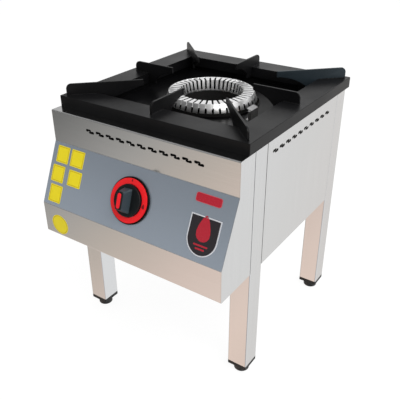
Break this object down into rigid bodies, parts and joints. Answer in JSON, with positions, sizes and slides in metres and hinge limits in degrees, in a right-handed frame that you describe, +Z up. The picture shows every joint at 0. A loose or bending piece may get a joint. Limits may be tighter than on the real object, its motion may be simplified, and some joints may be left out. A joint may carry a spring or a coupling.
{
  "type": "stock pot range",
  "caption": "Floor-standing gas stock pot range: square body on tube legs, sloping control box with a dial, slotted ring burner, lift-off pan support with fingers.",
  "frame": {"origin": "on the floor, below the middle of the range's outer box, knob included", "axes": "+X to the right seen from the front, +Y from the control box to the back, +Z up"},
  "size_m": [0.5, 0.6062, 0.6455],
  "materials": {
    "black_enamel": "satin black enamel",
    "satin_steel": "satin stainless sheet",
    "fascia_steel": "satin stainless sheet",
    "back_steel": "satin sheet",
    "dial_plate_grey": "matt blue-grey film",
    "socket_plastic": "moulded black",
    "foot_plastic": "moulded black",
    "tray_enamel": "black enamel",
    "cast_burner": "raw black casting",
    "crown_metal": "bright machined",
    "black_bar": "black paint",
    "zinc_screws": "zinc plated",
    "cast_aluminium": "as cast",
    "zinc_sheet": "zinc plated",
    "brass": "turned",
    "black_plastic": "moulded black",
    "red_ring": "printed red",
    "knob_plastic": "moulded black",
    "pointer_red": "red inlay",
    "bright_steel": "plated",
    "pipe_steel": "galvanised",
    "aluminium_tube": "drawn tube",
    "copper_lead": "copper sheath"
  },
  "bodies": {
    "root": {"leg_front_left": "satin_steel", "leg_front_right": "satin_steel", "leg_rear_left": "satin_steel", "leg_rear_right": "satin_steel", "foot_socket_front_left": "socket_plastic", "foot_socket_front_right": "socket_plastic", "foot_socket_rear_left": "socket_plastic", "foot_socket_rear_right": "socket_plastic", "side_panel_left": "satin_steel", "side_panel_right": "satin_steel", "back_panel": "back_steel", "control_fascia": "fascia_steel", "control_cheek_left": "satin_steel", "control_cheek_right": "satin_steel", "dial_plate": "dial_plate_grey", "spill_tray": "tray_enamel", "tray_screws": "zinc_screws", "burner_base": "cast_burner", "front_crossbar": "black_bar", "rear_crossbar": "black_bar", "burner_rail_left": "black_bar", "burner_rail_right": "black_bar", "rail_bolts": "zinc_screws", "venturi_tube": "cast_aluminium", "gas_injector": "brass", "injector_bracket": "black_bar", "injector_holder": "brass", "dial_bezel": "black_plastic", "dial_ring": "red_ring", "gas_valve": "cast_aluminium", "valve_screws": "zinc_screws", "supply_pipe": "pipe_steel", "gas_inlet": "brass", "burner_feed_pipe": "aluminium_tube", "pilot_tube": "aluminium_tube", "pilot_burner": "bright_steel", "thermocouple": "copper_lead"},
    "pan_support": {"pan_support_frame": "black_enamel", "side_finger_right": "black_enamel", "side_finger_rear": "black_enamel", "side_finger_left": "black_enamel", "side_finger_front": "black_enamel", "corner_finger_front_left": "black_enamel", "corner_finger_front_right": "black_enamel", "corner_finger_rear_left": "black_enamel", "corner_finger_rear_right": "black_enamel"},
    "crown": {"burner_crown": "crown_metal"},
    "knob_slider": {"push_collar": "brass"},
    "knob": {"control_knob": "knob_plastic", "knob_pointer": "pointer_red", "valve_spindle": "bright_steel"},
    "air_shutter": {"air_shutter": "zinc_sheet"},
    "foot_front_left": {"foot_front_left": "foot_plastic"},
    "foot_front_right": {"foot_front_right": "foot_plastic"},
    "foot_rear_left": {"foot_rear_left": "foot_plastic"},
    "foot_rear_right": {"foot_rear_right": "foot_plastic"}
  },
  "joints": [
    {"name": "pan_support_lift", "type": "slide", "parent": "root", "child": "pan_support", "axis": [0, 0, 1], "range_m": [0, 0.15]},
    {"name": "crown_lift", "type": "slide", "parent": "root", "child": "crown", "axis": [0, 0, 1], "range_m": [0, 0.06]},
    {"name": "knob_push", "type": "slide", "parent": "root", "child": "knob_slider", "axis": [0, 0.9114, -0.4115], "range_m": [0, 0.0045], "stiffness_N_per_m": 2000, "springref_m": -0.004},
    {"name": "knob_turn", "type": "hinge", "parent": "knob_slider", "child": "knob", "pos_m": [0, -0.25911, 0.45115], "axis": [0, -0.9114, 0.4115], "range_deg": [0, 270]},
    {"name": "air_shutter_turn", "type": "hinge", "parent": "root", "child": "air_shutter", "pos_m": [0, -0.15793, 0.50945], "axis": [0, 1, 0], "range_deg": [0, 45]},
    {"name": "foot_front_left_screw", "type": "slide", "parent": "root", "child": "foot_front_left", "axis": [0, 0, -1], "range_m": [0, 0.015]},
    {"name": "foot_front_right_screw", "type": "slide", "parent": "root", "child": "foot_front_right", "axis": [0, 0, -1], "range_m": [0, 0.015]},
    {"name": "foot_rear_left_screw", "type": "slide", "parent": "root", "child": "foot_rear_left", "axis": [0, 0, -1], "range_m": [0, 0.015]},
    {"name": "foot_rear_right_screw", "type": "slide", "parent": "root", "child": "foot_rear_right", "axis": [0, 0, -1], "range_m": [0, 0.015]}
  ]
}
